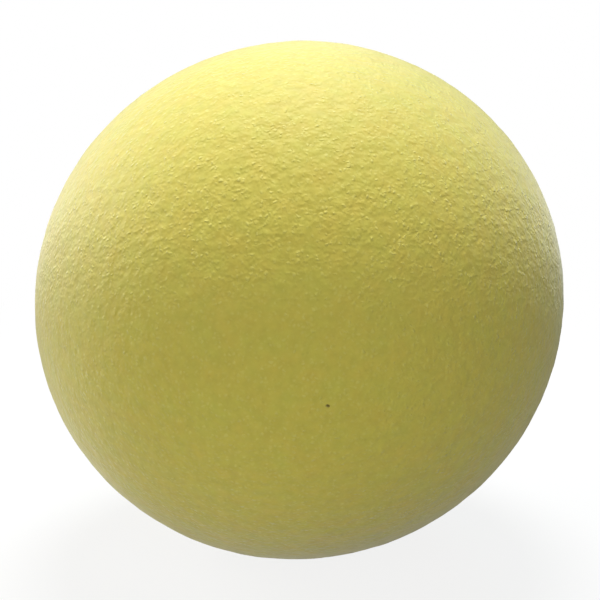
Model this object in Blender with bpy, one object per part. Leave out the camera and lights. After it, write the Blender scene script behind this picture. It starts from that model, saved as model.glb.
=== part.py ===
"""A quiet foam pickleball: a soft moulded foam core inside a tougher outer skin that is bonded to it.

Metres, +Z up, with the origin at the middle of the ball and its front towards -Y. The ball has no playing holes.
It lies on a small flat, where the soft skin gives under the ball's own weight.
"""

import math

import bmesh
import bpy
from mathutils import Matrix, Vector

# The ball's outside: a soft foam ball leaves its mould a little oval.
LONG_DIAMETER = 0.0750
SHORT_DIAMETER = 0.0731
LONG_AXIS_LEAN_DEG = 21.7  # how far the long way rises above the level, towards +X

# The layers, from the outside in.
SKIN_THICKNESS = 0.0010
BOND_GAP = 0.0003  # the bond line between the skin and the core

# The flat that the ball lies on.
CONTACT_DIAMETER = 0.0055

# The one pinhole through the skin, a burst bubble near the middle of the front.
PINHOLE_DIAMETER = 0.0005
PINHOLE_TURN_DEG = 5.4  # from the front towards +X
PINHOLE_DROP_DEG = 5.4  # below the level of the ball's middle
CUTTER_OVERRUN = 0.001  # how far the pinhole's cutter runs past the wall at each end

# How finely the round faces are divided.
OUTSIDE_SEGMENTS, OUTSIDE_RINGS = 64, 32
INSIDE_SEGMENTS, INSIDE_RINGS = 40, 20
PINHOLE_SEGMENTS = 12
SHARP_ANGLE_DEG = 30
POLE_MERGE = 1e-6  # on a unit sphere

SKIN_YELLOW, SKIN_ROUGHNESS = (0.74, 0.66, 0.12, 1.0), 0.62
CORE_CREAM, CORE_ROUGHNESS = (0.80, 0.74, 0.36, 1.0), 0.90


def clear_scene():
    for obj in list(bpy.data.objects):
        bpy.data.objects.remove(obj)


def foam_material(name, colour, roughness):
    material = bpy.data.materials.new(name)
    material.use_nodes = True
    shader = material.node_tree.nodes["Principled BSDF"]
    shader.inputs["Base Color"].default_value = colour
    shader.inputs["Roughness"].default_value = roughness
    shader.inputs["Metallic"].default_value = 0.0
    return material


def new_object(name, mesh, parent):
    """Turns a bmesh into a named, smoothly shaded object under parent."""
    data = bpy.data.meshes.new(name)
    mesh.to_mesh(data)
    mesh.free()
    data.shade_smooth()
    data.set_sharp_from_angle(angle=math.radians(SHARP_ANGLE_DEG))
    obj = bpy.data.objects.new(name, data)
    obj.parent = parent
    bpy.context.scene.collection.objects.link(obj)
    return obj


def cut_away(solid, name, cutter):
    """Takes a cutter out of a solid and puts the cutter out of sight."""
    cutter.display_type = "WIRE"
    cutter.hide_render = True
    cut = solid.modifiers.new(name, "BOOLEAN")
    cut.operation = "DIFFERENCE"
    cut.solver = "EXACT"
    cut.object = cutter


def oval_stretch(inset):
    """Stretches a unit sphere to the ball's leaning oval, drawn in by inset all round. Level rings stay level."""
    long_radius = LONG_DIAMETER / 2 - inset
    short_radius = SHORT_DIAMETER / 2 - inset
    lean = math.radians(LONG_AXIS_LEAN_DEG)
    half_height = math.hypot(long_radius * math.sin(lean), short_radius * math.cos(lean))
    half_width = long_radius * short_radius / half_height
    sideways = (long_radius**2 - short_radius**2) * math.sin(lean) * math.cos(lean) / half_height
    return Matrix(
        ((half_width, 0, sideways, 0), (0, short_radius, 0, 0), (0, 0, half_height, 0), (0, 0, 0, 1))
    )


def oval_ball(inset, segments, rings, foot_diameter=0.0):
    """A bmesh of the ball's oval, drawn in by inset all round and closed by a level flat at its foot."""
    foot_angle = math.asin(foot_diameter / SHORT_DIAMETER)
    ring_angle = (math.pi - foot_angle) / rings
    mesh = bmesh.new()
    profile = []
    for ring in range(rings + 1):
        from_below = foot_angle + ring * ring_angle
        profile.append(mesh.verts.new((math.sin(from_below), 0, -math.cos(from_below))))
    edges = [mesh.edges.new(ends) for ends in zip(profile, profile[1:])]
    bmesh.ops.spin(
        mesh, geom=profile + edges, axis=(0, 0, 1), angle=2 * math.pi, steps=segments, use_merge=True
    )
    bmesh.ops.remove_doubles(mesh, verts=mesh.verts, dist=POLE_MERGE)
    bmesh.ops.holes_fill(mesh, edges=mesh.edges)
    bmesh.ops.recalc_face_normals(mesh, faces=mesh.faces)
    bmesh.ops.transform(mesh, matrix=oval_stretch(inset), verts=mesh.verts)
    return mesh


def pinhole_rod(parent):
    """A thin rod through the front of the skin, along a line from the ball's middle."""
    turn = math.radians(PINHOLE_TURN_DEG)
    drop = math.radians(PINHOLE_DROP_DEG)
    outward = Vector((math.sin(turn) * math.cos(drop), -math.cos(turn) * math.cos(drop), -math.sin(drop)))
    start = SHORT_DIAMETER / 2 - SKIN_THICKNESS - CUTTER_OVERRUN
    end = LONG_DIAMETER / 2 + CUTTER_OVERRUN
    radius = PINHOLE_DIAMETER / 2
    mesh = bmesh.new()
    bmesh.ops.create_cone(
        mesh, cap_ends=True, segments=PINHOLE_SEGMENTS, radius1=radius, radius2=radius, depth=end - start
    )
    rod = new_object("pinhole_rod", mesh, parent)
    rod.location = outward * (start + end) / 2
    rod.rotation_euler = outward.to_track_quat("Z", "Y").to_euler()
    return rod


def outer_skin(parent):
    """The grained yellow skin: a shell round the whole core, with the flat below and the pinhole in front."""
    outside = oval_ball(0.0, OUTSIDE_SEGMENTS, OUTSIDE_RINGS, CONTACT_DIAMETER)
    inside = oval_ball(SKIN_THICKNESS, INSIDE_SEGMENTS, INSIDE_RINGS)
    skin = new_object("outer_skin", outside, parent)
    skin.data.materials.append(foam_material("skin_yellow", SKIN_YELLOW, SKIN_ROUGHNESS))
    cut_away(skin, "hollow", new_object("core_space", inside, parent))
    cut_away(skin, "pinhole", pinhole_rod(parent))


def foam_core(parent):
    """The soft foam that fills the skin, one bond line inside it."""
    core = new_object(
        "foam_core", oval_ball(SKIN_THICKNESS + BOND_GAP, INSIDE_SEGMENTS, INSIDE_RINGS), parent
    )
    core.data.materials.append(foam_material("core_foam", CORE_CREAM, CORE_ROUGHNESS))


def main():
    clear_scene()
    middle = bpy.data.objects.new("ball_middle", None)
    bpy.context.scene.collection.objects.link(middle)
    outer_skin(middle)
    foam_core(middle)


main()
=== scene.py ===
# %% [markdown]
# # A quiet foam pickleball
# This lesson dresses a foam pickleball. The real ball has two pieces: a soft foam core, and a tougher
# yellow skin that is bonded all over it. The solids of both are loaded first, as a frame that never
# moves. Each is then modelled again by hand with the surface that the real one has, gets a finish made of
# shader nodes, and is photographed on a plain white floor.

# %% Load the frame
import math

import bmesh
import bpy
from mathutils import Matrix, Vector


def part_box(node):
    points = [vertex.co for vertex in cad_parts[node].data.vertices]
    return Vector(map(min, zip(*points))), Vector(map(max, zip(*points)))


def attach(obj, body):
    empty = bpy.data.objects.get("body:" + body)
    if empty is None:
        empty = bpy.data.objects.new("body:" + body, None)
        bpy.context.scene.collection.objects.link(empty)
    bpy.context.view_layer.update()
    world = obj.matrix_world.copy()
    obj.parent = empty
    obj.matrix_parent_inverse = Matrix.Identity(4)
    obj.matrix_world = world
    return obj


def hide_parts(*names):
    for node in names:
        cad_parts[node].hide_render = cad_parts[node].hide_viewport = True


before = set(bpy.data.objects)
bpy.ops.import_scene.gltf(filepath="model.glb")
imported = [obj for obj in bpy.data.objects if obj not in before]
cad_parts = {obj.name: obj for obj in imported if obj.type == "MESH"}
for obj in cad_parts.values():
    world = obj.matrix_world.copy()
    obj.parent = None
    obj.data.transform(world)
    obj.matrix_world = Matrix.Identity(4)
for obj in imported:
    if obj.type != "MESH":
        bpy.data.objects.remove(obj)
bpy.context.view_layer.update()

MM = 0.001
print("solids:", ", ".join(sorted(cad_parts)))

# %% [markdown]
# ## The ball's oval
# A soft ball leaves its mould a little oval, and this one lies with its long way rising to the right.
# Every round surface here is a sphere that is stretched along that leaning line. The sizes could be typed
# in again, but reading them from the solids keeps both models alike: the depth of a solid's box is the
# short diameter of its oval, and the width and height then give the long one.

# %% Read the ovals from the solids
LONG_WAY_LEAN = math.radians(21.7)  # above the level, towards +X
BOND_GAP = 0.3 * MM  # from the core to the inside of the skin


def oval_radii(node):
    """The long and the short radius of a solid's oval."""
    _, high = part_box(node)
    return math.sqrt(high.x**2 + high.z**2 - high.y**2), high.y


skin_radii = oval_radii("outer_skin")
core_radii = oval_radii("foam_core")
inner_radii = [radius + BOND_GAP for radius in core_radii]
foot_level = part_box("outer_skin")[0].z
print("skin across in mm:", [round(2 * radius / MM, 2) for radius in skin_radii])
print("foot at", round(foot_level / MM, 2), "mm")

# %% [markdown]
# ## Working by hand, in code
# An operator acts on whatever is selected, so each step first selects just what it needs. These few
# helpers do that: one picks objects, one applies a modifier at once, and one picks the face that a line
# from the middle of the ball goes out through.

# %% Helpers for selecting and applying
def select_only(*pieces):
    """Selects these objects and nothing else. The first is the active one."""
    bpy.ops.object.select_all(action="DESELECT")
    for piece in pieces:
        piece.select_set(True)
    bpy.context.view_layer.objects.active = pieces[0]


def apply_modifier(piece, kind, **settings):
    """Adds a modifier with these settings and applies it."""
    select_only(piece)
    modifier = piece.modifiers.new(kind.lower(), kind)
    for name, value in settings.items():
        setattr(modifier, name, value)
    bpy.ops.object.modifier_apply(modifier=modifier.name)


def turn(piece, rotation):
    """Turns a piece about the origin, in its mesh."""
    select_only(piece)
    piece.rotation_euler = rotation
    bpy.ops.object.transform_apply(rotation=True)


def select_face_towards(piece, way):
    """In edit mode, selects the one face that lies furthest along a line from the middle of the ball."""
    mesh = bmesh.from_edit_mesh(piece.data)
    bpy.ops.mesh.select_mode(type="FACE")
    bpy.ops.mesh.select_all(action="DESELECT")
    face = max(mesh.faces, key=lambda each: each.calc_center_median().normalized().dot(way))
    face.select_set(True)
    mesh.faces.active = face
    bmesh.update_edit_mesh(piece.data)


# %% [markdown]
# ## A ball with no poles
# A ball could start as a UV sphere, but its poles pinch whatever is moulded on it. A cube that is cut
# into many squares and cast to a sphere has even squares all over. With an odd number of squares along
# each edge, one square sits in the middle of the front, and that square is turned to where the pinhole
# goes.

# %% The quad ball
PINHOLE_TURN = math.radians(5.4)  # from the front, -Y, towards +X
PINHOLE_DROP = math.radians(5.4)  # below the level

pinhole_way = Vector((
    math.sin(PINHOLE_TURN) * math.cos(PINHOLE_DROP),
    -math.cos(PINHOLE_TURN) * math.cos(PINHOLE_DROP),
    -math.sin(PINHOLE_DROP),
))


def quad_ball(name, cuts, radii):
    """A ball of squares, stretched to the leaning oval, with one square facing along the pinhole's line."""
    bpy.ops.object.select_all(action="DESELECT")
    bpy.ops.mesh.primitive_cube_add(size=2)
    ball = bpy.context.object
    ball.name = ball.data.name = name
    bpy.ops.object.mode_set(mode="EDIT")
    for number in cuts:
        bpy.ops.mesh.subdivide(number_cuts=number)
    bpy.ops.object.mode_set(mode="OBJECT")
    apply_modifier(ball, "CAST", cast_type="SPHERE", factor=1, size=1, radius=0, use_radius_as_size=False)
    turn(ball, pinhole_way.to_track_quat("-Y", "Z").to_euler())
    turn(ball, (0, LONG_WAY_LEAN, 0))
    ball.scale = (radii[0], radii[1], radii[1])
    bpy.ops.object.transform_apply(scale=True)
    turn(ball, (0, -LONG_WAY_LEAN, 0))
    print(name, "has", len(ball.data.polygons), "squares")
    return ball


# An edge of the cube gets 11 x 11, 5 x 7 and 7 x 13 squares.
SKIN_CUTS, WALL_CUTS, CORE_CUTS = (10, 10), (4, 6), (6, 12)

skin = quad_ball("grained_skin", SKIN_CUTS, skin_radii)
furthest = max((vert.co for vert in skin.data.vertices), key=lambda place: place.length)
print("long way leans", round(math.degrees(math.atan(furthest.z / furthest.x)), 1), "degrees")

# %% [markdown]
# ## The skin's relief
# The mould leaves the skin slightly uneven at every scale: broad soft swells, an orange peel of a few
# millimetres, and the fine leathery grain. A sculptor would brush these on. Here each is a Displace
# modifier that reads a clouds texture at its own size. The grain is finer than these squares can hold, so
# the finish adds the rest of it.

# %% Swells, orange peel and grain
NOISE_MIDDLE = 0.5  # a noise goes from 0 to 1


def displace(piece, texture, height, still):
    """Moves the surface out where the texture is above still and in where it is below."""
    apply_modifier(
        piece, "DISPLACE", texture=texture, texture_coords="LOCAL", strength=height, mid_level=still
    )


def add_relief(piece, name, size, height):
    """Pushes the surface in and out by up to half of height, in clouds of this size and half of it."""
    before = [vert.co.length for vert in piece.data.vertices]
    texture = bpy.data.textures.new(name, "CLOUDS")
    texture.noise_scale = size
    texture.noise_depth = 1
    displace(piece, texture, height, still=NOISE_MIDDLE)
    moves = [vert.co.length - length for vert, length in zip(piece.data.vertices, before)]
    print(name, "moves the skin by", round(min(moves) / MM, 3), "to", round(max(moves) / MM, 3), "mm")


add_relief(skin, "swells", size=16 * MM, height=0.10 * MM)
add_relief(skin, "orange_peel", size=4 * MM, height=0.12 * MM)
add_relief(skin, "leather_grain", size=1.6 * MM, height=0.07 * MM)

# %% [markdown]
# ## The foot
# A soft ball doesn't touch the ground at a point: its skin gives until a small flat carries it. Pushing
# points up to the floor would crowd them, so the ball is bisected at the floor and the cut is filled.

# %% Flatten the foot
CUT_THRESHOLD = 0.0001 * MM  # the operator's own value would take in most of the foot
select_only(skin)
bpy.ops.object.mode_set(mode="EDIT")
bpy.ops.mesh.select_all(action="SELECT")
bpy.ops.mesh.bisect(
    plane_co=(0, 0, foot_level), plane_no=(0, 0, -1), threshold=CUT_THRESHOLD,
    use_fill=True, clear_outer=True,
)
bpy.ops.object.mode_set(mode="OBJECT")
foot = [vert.co for vert in skin.data.vertices if vert.co.z < foot_level + CUT_THRESHOLD]
print("foot is", round((max(p.x for p in foot) - min(p.x for p in foot)) / MM, 2), "mm across")

# %% [markdown]
# ## The pinhole
# One bubble burst in the skin while it cured and left a pinhole, just below the middle of the front. It
# is a small leaning oval with a sloping lip. A Boolean with a thin rod would cut it, but it would break
# up the squares around it. Instead the square that faces it is inset to the hole's height, its corners
# are cut to make it eight-sided, and it is stretched, turned and pushed through the wall. The wall's
# inside is a second, coarser ball with a hole of its own, and bridging the two holes closes the skin.

# %% Open a hole in a wall
PINHOLE_WIDTH, PINHOLE_HEIGHT = 0.58 * MM, 0.47 * MM
PINHOLE_LEAN = math.radians(28)  # its right end is the lower one
PINHOLE_LIP = 0.05 * MM  # how wide the lip is, and how deep
OCTAGON_CORNER = 1 / (2 + math.sqrt(2))  # of the square that it is cut from


def open_pinhole(wall, lip=0, depth=0):
    """Makes the square on the pinhole's line an oval hole with a sloping lip, and draws it in by depth."""
    select_only(wall)
    bpy.ops.object.mode_set(mode="EDIT")
    select_face_towards(wall, pinhole_way)
    square = bmesh.from_edit_mesh(wall.data).faces.active
    side = math.sqrt(square.calc_area())
    middle = square.calc_center_median()
    bpy.ops.mesh.inset(thickness=(side - PINHOLE_HEIGHT) / 2)
    bpy.ops.mesh.bevel(offset=PINHOLE_HEIGHT * OCTAGON_CORNER, affect="VERTICES")
    select_face_towards(wall, pinhole_way)
    bpy.ops.transform.resize(value=(PINHOLE_WIDTH / PINHOLE_HEIGHT, 1, 1), center_override=middle)
    # With no window, this operator turns the other way.
    bpy.ops.transform.rotate(value=-PINHOLE_LEAN, orient_axis="Y", center_override=middle)
    hole = bmesh.from_edit_mesh(wall.data).faces.active
    width = 2 * max((vert.co - middle).length for vert in hole.verts)
    if lip:
        bpy.ops.mesh.inset(thickness=lip, depth=-lip)
    if depth:
        bpy.ops.mesh.extrude_region_move(TRANSFORM_OT_translate={"value": -pinhole_way * depth})
    bpy.ops.mesh.delete(type="FACE")
    bpy.ops.object.mode_set(mode="OBJECT")
    print(wall.name, "opened", round(width / MM, 2), "mm wide in a square of", round(side / MM, 2), "mm")


WALL_SHARE = 0.8  # how much of the wall the hole goes through before it is bridged
skin_thickness = skin_radii[1] - inner_radii[1]
inner_wall = quad_ball("inner_wall", WALL_CUTS, inner_radii)
open_pinhole(skin, lip=PINHOLE_LIP, depth=skin_thickness * WALL_SHARE)
open_pinhole(inner_wall)

# %% Join the walls through the pinhole
LIP_ANGLE = math.radians(40)
select_only(skin, inner_wall)
bpy.ops.object.join()
bpy.ops.object.mode_set(mode="EDIT")
bpy.ops.mesh.select_mode(type="EDGE")
bpy.ops.mesh.select_all(action="DESELECT")
bpy.ops.mesh.select_non_manifold(
    extend=False, use_wire=False, use_multi_face=False, use_non_contiguous=False
)
bpy.ops.mesh.bridge_edge_loops()
bpy.ops.mesh.select_all(action="SELECT")
bpy.ops.mesh.normals_make_consistent(inside=False)
bpy.ops.object.mode_set(mode="OBJECT")
bpy.ops.object.shade_smooth_by_angle(angle=LIP_ANGLE)

check = bmesh.new()
check.from_mesh(skin.data)
open_edges = sum(not edge.is_manifold for edge in check.edges)
print("skin:", round(check.calc_volume(signed=True) / MM**3), "cubic mm,", open_edges, "open edges")
check.free()

# %% [markdown]
# ## The core
# Cut open, the core is soft foam: bubbles of many sizes packed together. It is never seen, but it is
# modelled as what it is. It starts as the same ball, and a Voronoi texture draws a pit in at the middle
# of each bubble, never outwards, so that the core keeps inside the skin.

# %% Model the core
core = quad_ball("core_foam", CORE_CUTS, core_radii)


def add_bubbles(piece, name, size, depth):
    """Draws in a pit of this depth at the middle of each cell of this size."""
    texture = bpy.data.textures.new(name, "VORONOI")
    texture.noise_scale = size
    displace(piece, texture, depth, still=1.0)


add_bubbles(core, "large_bubbles", size=4.5 * MM, depth=0.35 * MM)
add_bubbles(core, "small_bubbles", size=1.8 * MM, depth=0.2 * MM)
select_only(core)
bpy.ops.object.shade_smooth()
core_reach = max(vert.co.length for vert in core.data.vertices)
print("core reaches", round(core_reach / MM, 2), "mm from its middle")

# %% [markdown]
# ## Shader maths as plain sums
# A finish is a tree of shader nodes. Placing them by hand takes many clicks, and a tree is hard to read
# afterwards. The class below wraps one socket, so that a sum in Python adds the Math node that does it,
# and its one method adds any other node. The finishes further down then read like the recipe of a paint.

# %% A socket that can be calculated with
class Wire:
    """A shader socket. Arithmetic on it adds Math nodes to its tree, and node adds any other node."""

    def __init__(self, tree, socket=None):
        self.tree = tree
        self.socket = socket

    def node(self, kind, inputs, output=0, **settings):
        """Adds a node with these settings and inputs, and wraps one of its outputs."""
        made = self.tree.nodes.new(kind)
        for name, value in settings.items():
            setattr(made, name, value)
        for name, value in inputs.items():
            if isinstance(value, Wire):
                self.tree.links.new(value.socket, made.inputs[name])
            else:
                made.inputs[name].default_value = value
        return Wire(self.tree, made.outputs[output] if made.outputs else None)

    def math(self, operation, first, second):
        return self.node("ShaderNodeMath", {0: first, 1: second}, operation=operation)

    def __add__(self, other):
        return self.math("ADD", self, other)

    def __sub__(self, other):
        return self.math("SUBTRACT", self, other)

    def __rsub__(self, other):
        return self.math("SUBTRACT", other, self)

    def __mul__(self, other):
        return self.math("MULTIPLY", self, other)

    __radd__ = __add__
    __rmul__ = __mul__


def new_finish(name):
    """An empty material, and a wire to start its tree from."""
    material = bpy.data.materials.new(name)
    material.use_nodes = True
    material.node_tree.nodes.clear()
    return material, Wire(material.node_tree)


def mix_colours(factor, first, second):
    """Goes from the first colour to the second as factor goes from 0 to 1."""
    return factor.node("ShaderNodeMix", {0: factor, 6: first, 7: second}, output=2, data_type="RGBA")


# %% [markdown]
# ## Patterns at their real size
# Everything here reads Object coordinates, which are metres on the piece itself, so a pattern keeps its
# true size and stays on the ball from every side. Clouds come from a Noise texture and round cells from a
# Voronoi one. Both helpers take the size of one blotch or cell, because that can be measured on the real
# thing. A height is in metres too, and a Bump node turns it into the Normal.

# %% Clouds, cells and bumps
NO_DETAIL, FINE_DETAIL = 0.0, 2.0  # octaves below the size of a blotch


def clouds(place, size, detail=1.0):
    """Soft noise around 0, with blotches of this size, about -0.5 to 0.5."""
    noise = place.node("ShaderNodeTexNoise", {"Vector": place, "Scale": 1 / size, "Detail": detail})
    return noise - NOISE_MIDDLE


def pushed_about(place, size, distance):
    """The place, moved up to half of distance each way by soft noise of this size."""
    inputs = {"Vector": place, "Scale": 1 / size, "Detail": NO_DETAIL}
    noise = place.node("ShaderNodeTexNoise", inputs, output="Color")
    push = noise.node("ShaderNodeVectorMath", {0: noise, 1: [NOISE_MIDDLE] * 3}, operation="SUBTRACT")
    push = push.node("ShaderNodeVectorMath", {0: push, "Scale": distance}, operation="SCALE")
    return place.node("ShaderNodeVectorMath", {0: place, 1: push}, operation="ADD")


def cells(place, size):
    """How far the middle of the nearest cell is, in shares of the cells' size."""
    return place.node("ShaderNodeTexVoronoi", {"Vector": place, "Scale": 1 / size})


def other_output(wire, name):
    """Another output of the node that a wire comes from."""
    return Wire(wire.tree, wire.socket.node.outputs[name])


def fade(value, none, full):
    """Goes softly from 0 to 1 as a value goes from none to full."""
    return value.node("ShaderNodeMapRange", {
        "Value": value, "From Min": none, "From Max": full, "To Min": 0.0, "To Max": 1.0,
    }, interpolation_type="SMOOTHSTEP")


def bumped(height):
    """The Normal of a surface that stands up by this height."""
    return height.node("ShaderNodeBump", {"Height": height, "Distance": 1.0, "Strength": 1.0})


# %% [markdown]
# ## The skin's colour
# The skin is soft polyurethane, coloured through. Its yellow drifts between tan and green in blotches of
# a few millimetres, with browner mottling among them, and small round spots here and there are browner
# and darker. A painted texture would need an unwrapped ball, so all of it is mixed from noise at its real
# size.

# %% Blotches, mottling and pores
SKIN_TAN = (0.780, 0.631, 0.084, 1)
SKIN_GREEN = (0.715, 0.661, 0.088, 1)
DARKER_BROWN = (0.42, 0.35, 0.03, 1)
BLOTCH_SIZE, BLOTCH_CONTRAST = 3.0 * MM, 1.6
MOTTLING_SIZE, MOTTLING_SHARE = 1.3 * MM, 0.5
PORE_SPACING, PORE_EDGE, PORE_MIDDLE, PORE_SHARE = 1.6 * MM, 0.16, 0.04, 0.14
DIRT_SHARE = 0.08  # all over
EVEN_MIX = 0.5  # of the tan and the green

skin_finish, start = new_finish("skin_yellow")
place = start.node("ShaderNodeTexCoord", {}, output="Object")
blotches = clouds(place, BLOTCH_SIZE, FINE_DETAIL)
mottling = clouds(place, MOTTLING_SIZE, FINE_DETAIL)
# Small round spots where the colour turns darker and browner.
pores = fade(cells(place, PORE_SPACING), PORE_EDGE, PORE_MIDDLE)
browning = mottling * MOTTLING_SHARE + pores * PORE_SHARE + DIRT_SHARE
tone = mix_colours(blotches * BLOTCH_CONTRAST + EVEN_MIX, SKIN_TAN, SKIN_GREEN)
tone = mix_colours(browning, tone, DARKER_BROWN)
print("blotches of", round(BLOTCH_SIZE / MM, 2), "mm, pores every", round(PORE_SPACING / MM, 2), "mm")

# %% [markdown]
# ## The skin's grain
# Close up, the grain is a crowd of flecks about half a millimetre apart, each with a height of its own.
# Their tips are painted paler: a painted highlight for the raking light that they catch. They stand on a
# noisy ground that ripples at a millimetre, and they stand taller in some patches than in others. Round
# cells would look like goose flesh, so noise pushes their places about first and pulls them into flecks.
# Everything adds up to one height.

# %% Flecks on a noisy ground
# The pale tip colour is a painted highlight, for the light that the flecks catch.
PAINTED_GLINT_PALE, PAINTED_GLINT_SHARE = (0.90, 0.84, 0.22, 1), 0.50
FLECK_SPACING, FLECK_REACH, FLECK_HEIGHT = 0.55 * MM, 0.60, 0.070 * MM
FLECK_LEAST = 0.2  # of the tallest one's height
PUSH_SIZE, PUSH_DISTANCE = 0.5 * MM, 0.45 * MM
GROUND_SIZE, GROUND_HEIGHT = 0.45 * MM, 0.056 * MM
RIPPLE_SIZE, RIPPLE_HEIGHT = 1.0 * MM, 0.10 * MM
PATCH_SIZE, PATCH_CONTRAST = 2.2 * MM, 2.4

flecks = cells(pushed_about(place, PUSH_SIZE, PUSH_DISTANCE), FLECK_SPACING)
own_number = flecks.node("ShaderNodeSeparateColor", {0: other_output(flecks, "Color")})
own_height = own_number * own_number * (1 - FLECK_LEAST) + FLECK_LEAST
fleck_tops = fade(flecks, FLECK_REACH, 0.0) * own_height
ground = clouds(place, GROUND_SIZE, NO_DETAIL)
ripples = clouds(place, RIPPLE_SIZE, NO_DETAIL)
patches = clouds(place, PATCH_SIZE)
# Painted highlight: the fleck tips are turned paler in the colour.
tone = mix_colours(fleck_tops * PAINTED_GLINT_SHARE, tone, PAINTED_GLINT_PALE)
grain = (fleck_tops * FLECK_HEIGHT + ground * GROUND_HEIGHT) * (patches * PATCH_CONTRAST + 1)
height = grain + ripples * RIPPLE_HEIGHT
print("flecks every", round(FLECK_SPACING / MM, 2), "mm, up to", round(FLECK_HEIGHT / MM, 3), "mm high")

# %% [markdown]
# ## The skin's finish
# The surface is dull and slightly velvety: its gloss is too rough to mirror anything, and only turns it
# paler where light grazes it. A glossy coat would be wrong, so the roughness is high, and Sheen makes the
# rest of the pale edge. Cycles softens bumps near the edge of a shadow. That would dim the flecks that
# catch raking light, so it is turned off here.

# %% Mix the skin's finish
SKIN_SHEEN, SKIN_SHEEN_ROUGHNESS, SKIN_SPECULAR = 0.50, 0.5, 0.42
SKIN_ROUGHNESS, ROUGHNESS_DRIFT = 0.65, 0.12

skin_finish.cycles.use_bump_map_correction = False
surface = start.node("ShaderNodeBsdfPrincipled", {
    "Base Color": tone,
    "Roughness": ripples * ROUGHNESS_DRIFT + SKIN_ROUGHNESS,
    "Normal": bumped(height),
    "Sheen Weight": SKIN_SHEEN,
    "Sheen Roughness": SKIN_SHEEN_ROUGHNESS,
    "Specular IOR Level": SKIN_SPECULAR,
})
start.node("ShaderNodeOutputMaterial", {"Surface": surface})
skin.data.materials.append(skin_finish)
print("the skin's finish has", len(skin_finish.node_tree.nodes), "nodes")

# %% [markdown]
# ## The core's finish
# Bare foam is paler than the skin and quite dull, because its cells trap the light. It is mixed in the
# same way: fine cells in the height, and painted shade inside them, where the colour turns a deeper yellow.

# %% Mix the core's finish
FOAM_PALE = (0.84, 0.78, 0.40, 1)
# The deeper yellow is painted shade inside the foam's cells.
FOAM_PAINTED_SHADE = (0.66, 0.58, 0.20, 1)
CELL_SIZE, CELL_EDGE, CELL_MIDDLE, CELL_DEPTH = 0.8 * MM, 0.6, 0.1, 0.08 * MM
FOAM_ROUGHNESS, CELL_SMOOTHNESS, FOAM_SPECULAR = 0.95, 0.05, 0.2

core_finish, start = new_finish("core_cream")
place = start.node("ShaderNodeTexCoord", {}, output="Object")
pits = fade(cells(place, CELL_SIZE), CELL_EDGE, CELL_MIDDLE)
surface = start.node("ShaderNodeBsdfPrincipled", {
    # Painted shade: the colour deepens inside each cell.
    "Base Color": mix_colours(pits, FOAM_PALE, FOAM_PAINTED_SHADE),
    "Roughness": FOAM_ROUGHNESS - pits * CELL_SMOOTHNESS,
    "Normal": bumped(pits * -CELL_DEPTH),
    "Specular IOR Level": FOAM_SPECULAR,
})
start.node("ShaderNodeOutputMaterial", {"Surface": surface})
core.data.materials.append(core_finish)
print("the core's finish has", len(core_finish.node_tree.nodes), "nodes")

# %% [markdown]
# ## On the frame
# Both pieces ride on the ball's only body, and each stands for its solid.

# %% Ride on the frame
for piece, node, slot in ((skin, "outer_skin", "skin"), (core, "foam_core", "core")):
    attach(piece, "root")
    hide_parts(node)
    print(piece.name, "stands for", node)

# %% [markdown]
# ## A white room
# The ball lies on white, with nothing else in sight. White could come from flooding it with light, but
# then the ball would bleach. Instead the floor and the world look white only to the camera and in
# reflections. To plain light, the floor is a grey mat close to the ball on a darker table, both darker
# still at the right, and the room is dim. That gives the ball its soft shade below and on its right side.
# Close to the ball, the floor shows part of its true shade to the camera too, so the shadow stays.

# %% What the camera sees
WHITE = (1, 1, 1, 1)


def seen_directly(start):
    """1 for rays from the camera, in reflections and through glass, and 0 for plain light."""
    camera_ray = start.node("ShaderNodeLightPath", {}, output="Is Camera Ray")
    glossy_ray = other_output(camera_ray, "Is Glossy Ray")
    through_ray = other_output(camera_ray, "Is Transmission Ray")
    return start.math("MAXIMUM", start.math("MAXIMUM", camera_ray, glossy_ray), through_ray)


# %% Lay the floor
FLOOR_SIZE = 6.0
FLOOR_DROP = 0.02 * MM  # keeps the floor off the foot
MAT_GREY, TABLE_GREY = 0.56, 0.20
RIGHT_SHADE = 0.67  # the share of either grey that is lost at the right
MAT_INNER, MAT_OUTER = 50 * MM, 90 * MM
SHADE_START, SHADE_END = -20 * MM, 40 * MM  # to the right of the ball's middle
FLOOR_SEEN = (0.80, 0.80, 0.80, 1)
SHADOW_SHARE = 0.15
SHADOW_INNER, SHADOW_OUTER = 60 * MM, 150 * MM

bpy.ops.object.select_all(action="DESELECT")
bpy.ops.mesh.primitive_plane_add(size=FLOOR_SIZE, location=(0, 0, foot_level - FLOOR_DROP))
floor = bpy.context.object
floor.name = "floor"

floor_finish, start = new_finish("floor_white")
place = start.node("ShaderNodeTexCoord", {}, output="Object")
away = place.node("ShaderNodeVectorMath", {0: place}, output="Value", operation="LENGTH")
across = place.node("ShaderNodeSeparateXYZ", {0: place}, output="X")
seen = seen_directly(start)
left_grey = fade(away, MAT_OUTER, MAT_INNER) * (MAT_GREY - TABLE_GREY) + TABLE_GREY
lit_grey = left_grey * (1 - fade(across, SHADE_START, SHADE_END) * RIGHT_SHADE)
white_share = 1 - fade(away, SHADOW_OUTER, SHADOW_INNER) * SHADOW_SHARE
card = start.node("ShaderNodeBsdfDiffuse", {"Color": mix_colours(seen, lit_grey, FLOOR_SEEN)})
glow = start.node("ShaderNodeEmission", {"Color": WHITE, "Strength": 1.0})
shown = start.node("ShaderNodeMixShader", {0: seen * white_share, 1: card, 2: glow})
start.node("ShaderNodeOutputMaterial", {"Surface": shown})
floor.data.materials.append(floor_finish)
print("floor at", round(floor.location.z / MM, 2), "mm")

# %% Dim the room
ROOM_LEVEL = 0.12

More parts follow.
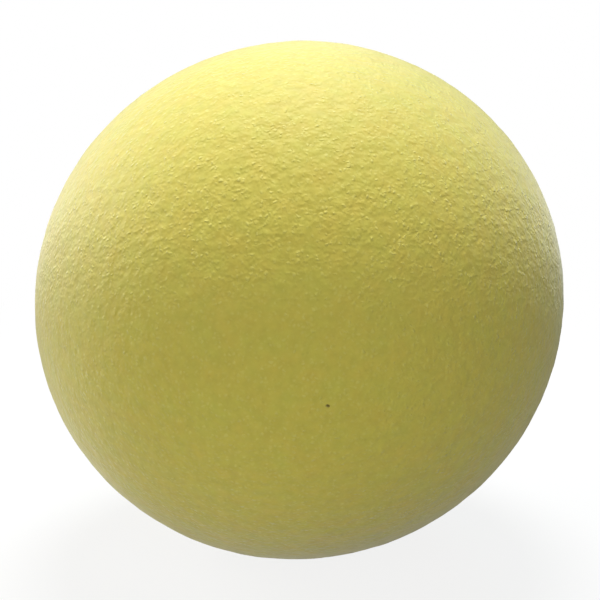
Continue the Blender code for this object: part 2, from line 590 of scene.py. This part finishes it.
world = bpy.data.worlds.new("white_room")
bpy.context.scene.world = world
world.use_nodes = True
world.node_tree.nodes.clear()
start = Wire(world.node_tree)
seen = seen_directly(start)
strength = (1 - seen) * ROOM_LEVEL + seen
room = start.node("ShaderNodeBackground", {"Color": WHITE, "Strength": strength})
start.node("ShaderNodeOutputWorld", {"Surface": room})
print("room at level", ROOM_LEVEL)

# %% [markdown]
# ## The camera
# The photograph is square and the ball nearly fills it. A short telephoto lens keeps the ball's outline
# true. Its distance follows from the size of the outline: the line of sight that just touches the ball
# makes a right angle with the ball's radius there.

# %% Set up the camera
IMAGE_SIDE = 600
BALL_CENTRE_PX = (299.0, 300.2)
BALL_RADIUS_PX = 261.9
CAMERA_ELEVATION = math.radians(15)
LENS_MM, SENSOR_MM = 85, 36
NEAR_CLIP, FAR_CLIP = 0.01, 20

focal_px = IMAGE_SIDE * LENS_MM / SENSOR_MM
mean_radius = math.sqrt(skin_radii[0] * skin_radii[1])
distance = mean_radius / math.sin(math.atan(BALL_RADIUS_PX / focal_px))
to_camera = Vector((0, -math.cos(CAMERA_ELEVATION), math.sin(CAMERA_ELEVATION)))

bpy.ops.object.select_all(action="DESELECT")
facing_ball = to_camera.to_track_quat("Z", "Y").to_euler()
bpy.ops.object.camera_add(location=to_camera * distance, rotation=facing_ball)
camera = bpy.context.object
camera.data.lens = LENS_MM
camera.data.sensor_width = SENSOR_MM
camera.data.clip_start = NEAR_CLIP
camera.data.clip_end = FAR_CLIP
camera.data.shift_x = (IMAGE_SIDE / 2 - BALL_CENTRE_PX[0]) / IMAGE_SIDE
camera.data.shift_y = (BALL_CENTRE_PX[1] - IMAGE_SIDE / 2) / IMAGE_SIDE
bpy.context.scene.camera = camera
print("camera stands", round(distance / MM, 1), "mm from the middle of the ball")

# %% [markdown]
# ## The light
# The strongest lamp hangs overhead, so that its light rakes down the upper front and brings out the grain
# there. A second stands at the left, a little behind the ball, and a third, weak and cool, high at the
# right behind it. They make the pale rims. Two weak ones in front lift the shade. All are round and soft.
# A lamp's level is how bright it makes a white surface that faces it, so at 1 a colour renders as it is
# written.

# %% Hang the lamps
LAMP_DISTANCE = 0.6
COOL_GREEN = (0.51, 0.91, 1.00, 1)
camera_right = Vector((1, 0, 0))
camera_up = to_camera.cross(camera_right)


def add_lamp(name, right, up, nearer, half_angle, level, colour=WHITE):
    """A lamp that lies this way as the camera sees it, half_angle degrees from its middle to its edge."""
    way = (camera_right * right + camera_up * up + to_camera * nearer).normalized()
    bpy.ops.object.select_all(action="DESELECT")
    bpy.ops.object.light_add(
        type="AREA", location=way * LAMP_DISTANCE, rotation=way.to_track_quat("Z", "Y").to_euler()
    )
    lamp = bpy.context.object
    lamp.name = name
    radius = LAMP_DISTANCE * math.tan(math.radians(half_angle))
    lamp.data.shape = "DISK"
    lamp.data.size = 2 * radius
    lamp.data.energy = level * math.pi**2 * (radius**2 + LAMP_DISTANCE**2)
    lamp.data.color = colour[:3]
    lamp.visible_camera = False
    print(name, "at level", level)


add_lamp("overhead_lamp", right=0.00, up=1.00, nearer=0.00, half_angle=12, level=0.99)
add_lamp("left_lamp", right=-0.85, up=0.45, nearer=-0.28, half_angle=15, level=0.44)
add_lamp("right_lamp", right=0.30, up=0.85, nearer=-0.42, half_angle=12, level=0.18, colour=COOL_GREEN)
add_lamp("front_left_lamp", right=-0.50, up=-0.10, nearer=0.85, half_angle=20, level=0.22)
add_lamp("front_right_lamp", right=0.50, up=0.00, nearer=0.85, half_angle=20, level=0.175)
bpy.context.scene.view_settings.view_transform = "Standard"
